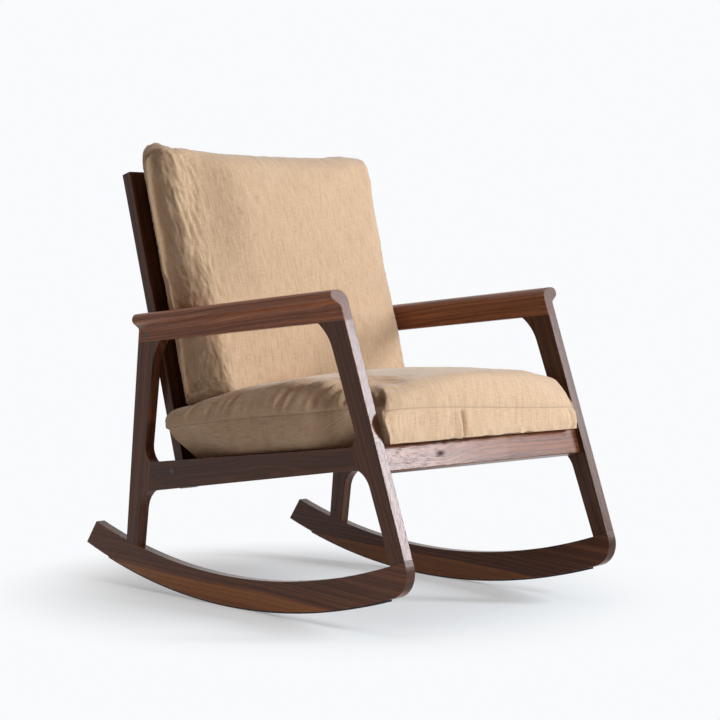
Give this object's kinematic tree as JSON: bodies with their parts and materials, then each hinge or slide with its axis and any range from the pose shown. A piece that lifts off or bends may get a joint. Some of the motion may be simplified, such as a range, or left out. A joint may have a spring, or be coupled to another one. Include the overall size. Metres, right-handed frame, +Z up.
{
  "type": "rocking chair",
  "caption": "Low wooden rocking chair with two open side frames on curved runners, beaded arms, a slatted seat and back, and two loose box cushions.",
  "frame": {"origin": "on the floor under the middle of the chair's bounding box, between the two runners", "axes": "+Z up, -Y to the front of the chair, +X to the right seen from the front"},
  "size_m": [0.692, 0.9848, 0.9708],
  "materials": {
    "side_frame_wood": "dark walnut stain with a satin varnish",
    "rail_wood": "dark walnut stain, lighter where the wavy grain shows",
    "back_wood": "very dark walnut stain with a satin varnish",
    "hidden_wood": "plain unstained wood",
    "dowel_wood": "plain beech",
    "plug_wood": "near-black stained plug, flush",
    "strip_rubber": "matt black",
    "screw_steel": "zinc plated",
    "seat_fabric": "tan slubby linen",
    "back_fabric": "tan slubby linen"
  },
  "bodies": {
    "frame": {"left_arm": "side_frame_wood", "left_front_leg": "side_frame_wood", "left_rear_leg": "side_frame_wood", "left_side_rail": "side_frame_wood", "left_runner": "side_frame_wood", "left_runner_strip": "strip_rubber", "left_seat_cleat": "hidden_wood", "left_back_stile": "back_wood", "left_frame_dowels": "dowel_wood", "left_back_screws": "screw_steel", "left_screw_plugs": "plug_wood", "right_arm": "side_frame_wood", "right_front_leg": "side_frame_wood", "right_rear_leg": "side_frame_wood", "right_side_rail": "side_frame_wood", "right_runner": "side_frame_wood", "right_runner_strip": "strip_rubber", "right_seat_cleat": "hidden_wood", "right_back_stile": "back_wood", "right_frame_dowels": "dowel_wood", "right_back_screws": "screw_steel", "right_screw_plugs": "plug_wood", "front_rail": "rail_wood", "rear_rail": "hidden_wood", "rail_dowels": "dowel_wood", "seat_slat_1": "hidden_wood", "seat_slat_2": "hidden_wood", "seat_slat_3": "hidden_wood", "seat_slat_4": "hidden_wood", "seat_slat_5": "hidden_wood", "seat_slat_6": "hidden_wood", "seat_slat_7": "hidden_wood", "slat_screws": "screw_steel", "cleat_screws": "screw_steel", "back_top_rail": "back_wood", "back_bottom_rail": "back_wood", "back_slat_1": "back_wood", "back_slat_2": "back_wood", "back_slat_3": "back_wood", "back_slat_4": "back_wood"},
    "seat_cushion": {"seat_cushion": "seat_fabric"},
    "back_cushion": {"back_cushion": "back_fabric"}
  },
  "joints": [
    {"name": "seat_cushion_lift", "type": "slide", "parent": "frame", "child": "seat_cushion", "axis": [0, 0, 1], "range_m": [0, 0.4]},
    {"name": "back_cushion_lift", "type": "slide", "parent": "seat_cushion", "child": "back_cushion", "axis": [0, 0.2907, 0.9568], "range_m": [0, 0.45]}
  ]
}
